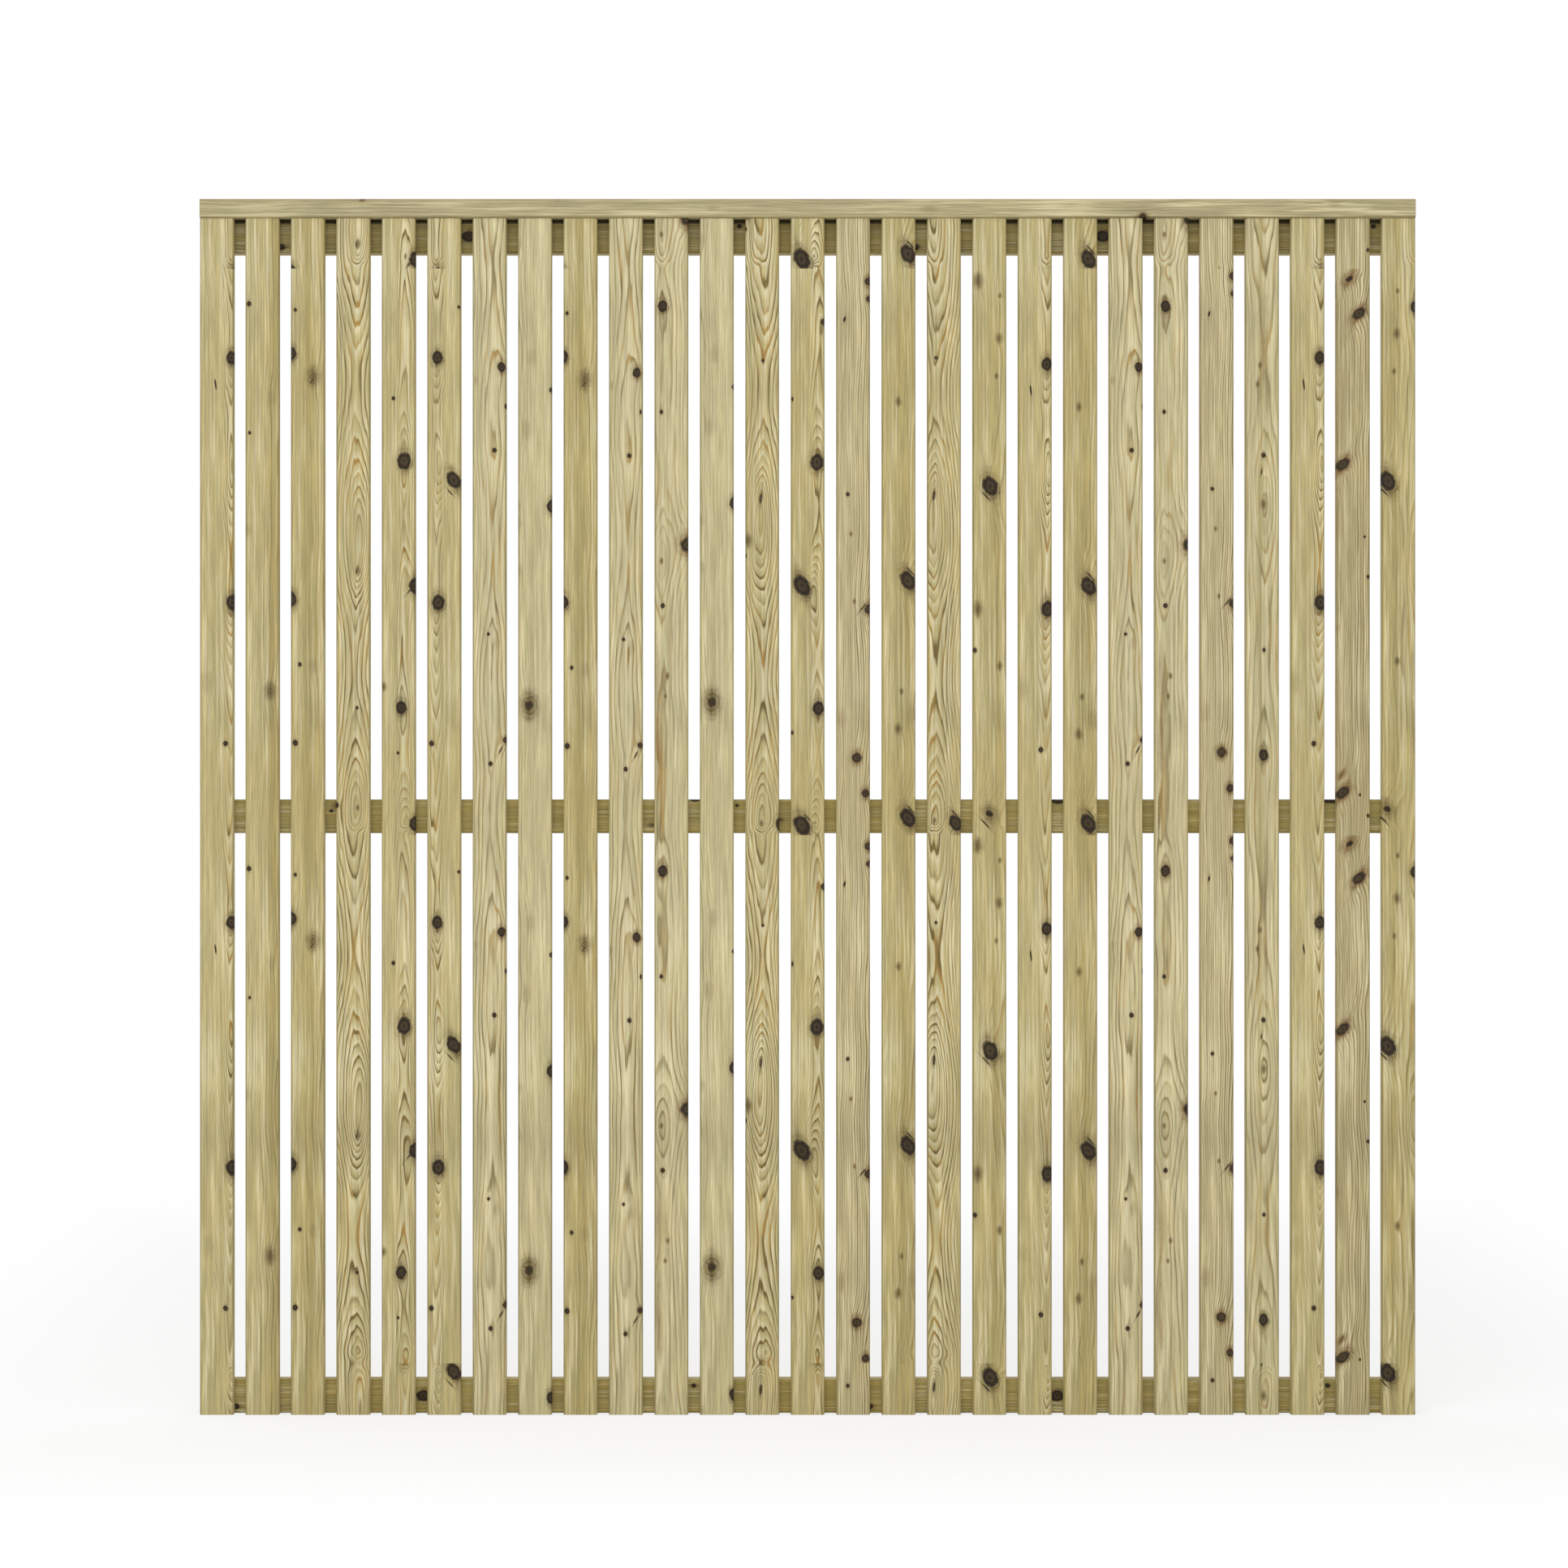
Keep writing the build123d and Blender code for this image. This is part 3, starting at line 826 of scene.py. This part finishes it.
def one_staple():
    """A staple at the origin: its crown along X just under the plane y = 0, its legs towards -Y."""
    shape = bmesh.new()
    half = STAPLE_WIRE / 2
    leg_x = STAPLE_CROWN / 2 - half

    # One leg's section, where its point begins, and the point drawn out below it
    bmesh.ops.create_grid(shape, x_segments=1, y_segments=1, size=half)
    upright = Matrix.Rotation(math.radians(90), 3, "X")
    bmesh.ops.rotate(shape, verts=shape.verts, cent=(0, 0, 0), matrix=upright)
    bmesh.ops.translate(shape, verts=shape.verts, vec=(-leg_x, STAPLE_POINT - STAPLE_LEG, 0))
    start = list(shape.faces)
    tip = bmesh.ops.duplicate(shape, geom=start + list(shape.edges) + list(shape.verts))["geom"]
    tip = [item for item in tip if isinstance(item, bmesh.types.BMFace)]
    sides = extrude_by(shape, tip, (0, -STAPLE_POINT, 0))
    inner = [vert for vert in sides[0].verts if vert.co.x > -leg_x]
    bmesh.ops.translate(shape, verts=inner, vec=(-STAPLE_WIRE * POINT_TAPER, 0, 0))

    # The leg, the shoulder and half of the crown, and then the other half as its mirror image
    rise = STAPLE_LEG - STAPLE_POINT - STAPLE_SUNK - STAPLE_WIRE - STAPLE_BEND
    end = extrude_by(shape, start, (0, rise, 0))
    centre = (-leg_x + half + STAPLE_BEND, -STAPLE_SUNK - STAPLE_WIRE - STAPLE_BEND, 0)
    end = bend(shape, end, centre, math.radians(-90), BEND_STEPS)
    extrude_by(shape, end, (-centre[0], 0, 0))
    bmesh.ops.remove_doubles(shape, verts=shape.verts, dist=1e-6)
    middle = [face for face in shape.faces if all(abs(vert.co.x) < 1e-6 for vert in face.verts)]
    bmesh.ops.delete(shape, geom=middle, context="FACES_ONLY")
    half_staple = shape.verts[:] + shape.edges[:] + shape.faces[:]
    bmesh.ops.mirror(shape, geom=half_staple, axis="X", merge_dist=1e-6)
    bmesh.ops.remove_doubles(shape, verts=shape.verts, dist=1e-6)
    sharp = [edge for edge in shape.edges if edge.calc_face_angle(0) > 0.8]
    settings = {"affect": "EDGES", "segments": 2, "profile": 0.5, "material": -1}
    bmesh.ops.bevel(shape, geom=sharp, offset=STAPLE_EDGE, **settings)
    bmesh.ops.recalc_face_normals(shape, faces=shape.faces)
    turn = Matrix.Rotation(math.radians(-STAPLE_TURN), 3, "Y")
    bmesh.ops.rotate(shape, verts=shape.verts, cent=(0, 0, 0), matrix=turn)
    return shape


def cut_pockets(piece, cutter):
    """Cut a finished bmesh's shapes out of a piece for good."""
    mesh = bpy.data.meshes.new("cutter")
    cutter.to_mesh(mesh)
    cutter.free()
    tool = bpy.data.objects.new("cutter", mesh)
    bpy.context.scene.collection.objects.link(tool)
    cut = piece.modifiers.new("pockets", "BOOLEAN")
    cut.operation = "DIFFERENCE"
    cut.solver = "EXACT"
    cut.object = tool
    bpy.context.view_layer.update()
    done = bpy.data.meshes.new_from_object(piece.evaluated_get(bpy.context.evaluated_depsgraph_get()))
    piece.modifiers.clear()
    piece.data = done
    bpy.data.objects.remove(tool)
    bpy.data.meshes.remove(mesh)


def blocks(size, turn, places):
    """Equal blocks of a size, turned about the depth axis, at each of these middles."""
    shape = bmesh.new()
    for place in places:
        verts = bmesh.ops.create_cube(shape, size=1.0)["verts"]
        bmesh.ops.scale(shape, verts=verts, vec=size)
        matrix = Matrix.Rotation(math.radians(-turn), 3, "Y")
        bmesh.ops.rotate(shape, verts=verts, cent=(0, 0, 0), matrix=matrix)
        bmesh.ops.translate(shape, verts=verts, vec=place)
    return shape


def sawn_length(box, along):
    """A planed length of timber: rounded arrises, eased ends, and a map of its sides laid flat."""
    low, high = Vector(box[0]), Vector(box[1])
    across, deep = 2 - along, 1
    size = high - low
    shape = bmesh.new()
    bmesh.ops.create_cube(shape, size=1.0)
    bmesh.ops.scale(shape, verts=shape.verts, vec=size)
    bmesh.ops.translate(shape, verts=shape.verts, vec=(low + high) / 2)
    long_edges = [edge for edge in shape.edges if edge.calc_length() > size[along] * 0.9]
    settings = {"affect": "EDGES", "profile": 0.5, "material": -1}
    bmesh.ops.bevel(shape, geom=long_edges, offset=ARRIS_RADIUS, segments=5, **settings)
    end_faces = [face for face in shape.faces if abs(face.normal[along]) > 0.9]
    end_edges = [edge for face in end_faces for edge in face.edges]
    bmesh.ops.bevel(shape, geom=end_edges, offset=EASED_END, segments=2, **settings)
    piece_length = size[along] / MAP_COLUMNS
    normal = Vector((0, 0, 0))
    normal[along] = 1
    for number in range(1, MAP_COLUMNS):
        point = low + normal * piece_length * number
        geometry = shape.verts[:] + shape.edges[:] + shape.faces[:]
        bmesh.ops.bisect_plane(shape, geom=geometry, plane_co=point, plane_no=normal, dist=1e-6)
    shape.normal_update()

    # Every side of every length gets its own strip of the map, side by side
    starts = [0, size[across] + MAP_GAP, size[across] + size[deep] + 2 * MAP_GAP]
    starts.append(starts[2] + size[across] + MAP_GAP)
    column = starts[3] + size[deep] + MAP_GAP
    whole = max(column * MAP_COLUMNS, piece_length + size[deep] + 3 * MAP_GAP)
    flat_map = shape.loops.layers.uv.new("planed sides")
    for face in shape.faces:
        facing = face.normal
        middle = face.calc_center_median() - low
        face.smooth = max(abs(value) for value in facing) < 0.999
        number = min(int(middle[along] / piece_length), MAP_COLUMNS - 1)
        at_end = abs(facing[along]) > 0.7
        broad = abs(facing[deep]) >= abs(facing[across])
        if broad:
            strip = 0 if facing[deep] < 0 else 2
        else:
            strip = 1 if facing[across] > 0 else 3
        for loop in face.loops:
            place = loop.vert.co - low
            if at_end:
                u = place[across] + (size[across] + MAP_GAP) * (1 if facing[along] > 0 else 0)
                v = piece_length + MAP_GAP + place[deep]
            else:
                u = column * number + starts[strip] + (place[across] if broad else place[deep])
                v = place[along] - piece_length * number
            loop[flat_map].uv = ((u + MAP_GAP / 2) / whole, (v + MAP_GAP / 2) / whole)
    return shape


def staple_row(rail, places):
    """All the staples along one rail, one at each of these places across the panel."""
    low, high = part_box(rail)
    shape = one_staple()
    bmesh.ops.translate(shape, verts=shape.verts, vec=(0, high[1], (low[2] + high[2]) / 2))
    first = shape.verts[:] + shape.edges[:] + shape.faces[:]
    for x in places:
        copied = bmesh.ops.duplicate(shape, geom=first)["geom"]
        verts = [item for item in copied if isinstance(item, bmesh.types.BMVert)]
        bmesh.ops.translate(shape, verts=verts, vec=(x, 0, 0))
    bmesh.ops.delete(shape, geom=[item for item in first if isinstance(item, bmesh.types.BMVert)])
    return shape


def give_material(piece, material):
    """Let one material cover a whole piece."""
    piece.data.materials.clear()
    piece.data.materials.append(material)


KNOT = make_knot_group()
AGAIN = make_seam_group()
RINGS = make_ring_group()
TIMBER = make_timber_group()
PAINTED_SHADE = make_painted_shade_group()
ZINC = make_wear_group()

# The slats, each of its own board
for number, (kind, across, up, tone) in enumerate(SLATS, start=1):
    name = f"slat_{number:02d}"
    material = timber(f"{name} wood", name, kind, tone, (across, up))
    slat = new_piece(f"{name}_planed", sawn_length(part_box(name), 2), "root", material)
    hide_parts(name)

# The rails with pockets for the crowns, and the capping rail
slat_middles = []
for number in range(1, len(SLATS) + 1):
    low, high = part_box(f"slat_{number:02d}")
    slat_middles.append((low[0] + high[0]) / 2)

cap_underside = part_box("cap")[0][2]
for name, (kind, across, up, tone, front) in BATTENS.items():
    # How much painted shade darkens a rail's front, and the capping rail's painted shadow on it
    damp = front and {"Front Shade": front, "Cap Shadow": CAP_SHADOW, "Cap Height": cap_underside}
    material = timber(f"{name} wood", name, kind, tone, (across, up), along_panel=True, damp=damp)
    batten = new_piece(f"{name}_planed", sawn_length(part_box(name), 0), "root", material)
    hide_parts(name)
    if damp:
        low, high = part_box(name)
        height = (low[2] + high[2]) / 2
        size = (STAPLE_CROWN + POCKET_GAP, 2 * STAPLE_WIRE, STAPLE_WIRE + POCKET_GAP)
        pockets = blocks(size, STAPLE_TURN, [(x, high[1], height) for x in slat_middles])
        cut_pockets(batten, pockets)

# The staples, and the brads in their pockets in the capping rail
staple_steel = fastener_steel("staple steel", STAPLE_RUST)
for rail in ("top_rail", "middle_rail", "bottom_rail"):
    row = staple_row(rail, slat_middles)
    row = new_piece(f"{rail}_staple_row", row, "root", staple_steel)
    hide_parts(f"{rail}_staples")

brad_low, brad_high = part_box("cap_brads")
brad_places = []
for number in range(0, len(slat_middles) - 1, BRAD_EVERY):
    x = (slat_middles[number] + slat_middles[number + 1]) / 2
    brad_places.append((x, (brad_low[1] + brad_high[1]) / 2, brad_high[2]))
head = (BRAD_HEAD_WIDTH + POCKET_GAP, BRAD_WIRE + POCKET_GAP, 2 * BRAD_HEAD_HEIGHT)
cut_pockets(bpy.data.objects["cap_planed"], blocks(head, 0, brad_places))
give_material(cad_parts["cap_brads"], fastener_steel("brad steel", BRAD_RUST))

# The floor
bpy.ops.mesh.primitive_plane_add(size=FLOOR_SIZE, location=(0, 0, 0))
floor = bpy.context.object
floor.name = "floor"
floor_material = bpy.data.materials.new("floor")
tree = fresh_tree(floor_material)
light_path = tree.nodes.new("ShaderNodeLightPath").outputs
seen = calc(tree, "MAXIMUM", light_path["Is Camera Ray"], light_path["Is Glossy Ray"])
seen = calc(tree, "MAXIMUM", seen, light_path["Is Transmission Ray"])
coordinates = tree.nodes.new("ShaderNodeTexCoord").outputs
spot = new_node(tree, "ShaderNodeSeparateXYZ", {"Vector": coordinates["Object"]}).outputs
beside = ramp(tree, calc(tree, "ABSOLUTE", spot["X"]), *SHADE_BESIDE)
before = ramp(tree, spot["Y"], SHADE_BEFORE[1], SHADE_BEFORE[0], 1.0, 0.0)
behind = ramp(tree, spot["Y"], *SHADE_BEHIND)
away = calc(tree, "MAXIMUM", calc(tree, "MAXIMUM", beside, before), behind)
share = calc(tree, "MULTIPLY_ADD", away, SHADE_SHARE, 1 - SHADE_SHARE)
seen = calc(tree, "MULTIPLY", seen, share)
matt = new_node(tree, "ShaderNodeBsdfDiffuse", {"Color": FLOOR_WHITE}).outputs[0]
glow = new_node(tree, "ShaderNodeEmission", {"Color": WHITE, "Strength": 1.0}).outputs[0]
mixed = new_node(tree, "ShaderNodeMixShader", {0: seen, 1: matt, 2: glow}).outputs[0]
new_node(tree, "ShaderNodeOutputMaterial", {"Surface": mixed})
floor.data.materials.append(floor_material)

# The light from all round, and the soft key light from in front and above
world = bpy.data.worlds.new("studio")
tree = fresh_tree(world)
light_path = tree.nodes.new("ShaderNodeLightPath").outputs
strength = ramp(tree, light_path["Is Camera Ray"], 0.0, 1.0, SKY_STRENGTH, 1.0)
back = new_node(tree, "ShaderNodeBackground", {"Color": WHITE, "Strength": strength}).outputs[0]
new_node(tree, "ShaderNodeOutputWorld", {"Surface": back})
bpy.context.scene.world = world

key_data = bpy.data.lights.new("soft key light", "AREA")
key_data.size = KEY_SIZE
key_data.energy = KEY_POWER
key = bpy.data.objects.new("soft key light", key_data)
bpy.context.scene.collection.objects.link(key)
key.location = KEY_PLACE
key.rotation_euler = (Vector(KEY_AIM) - key.location).to_track_quat("-Z", "Y").to_euler()

# The camera, straight in front
camera_data = bpy.data.cameras.new("camera")
camera_data.sensor_width = CAMERA_SENSOR
camera_data.lens = CAMERA_LENS
camera = bpy.data.objects.new("camera", camera_data)
bpy.context.scene.collection.objects.link(camera)
camera.location = (CAMERA_ASIDE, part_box("slat_01")[0][1] - CAMERA_AWAY, CAMERA_HEIGHT)
camera.rotation_euler = (math.radians(90), 0, 0)
bpy.context.scene.camera = camera
bpy.context.scene.view_settings.view_transform = "Standard"
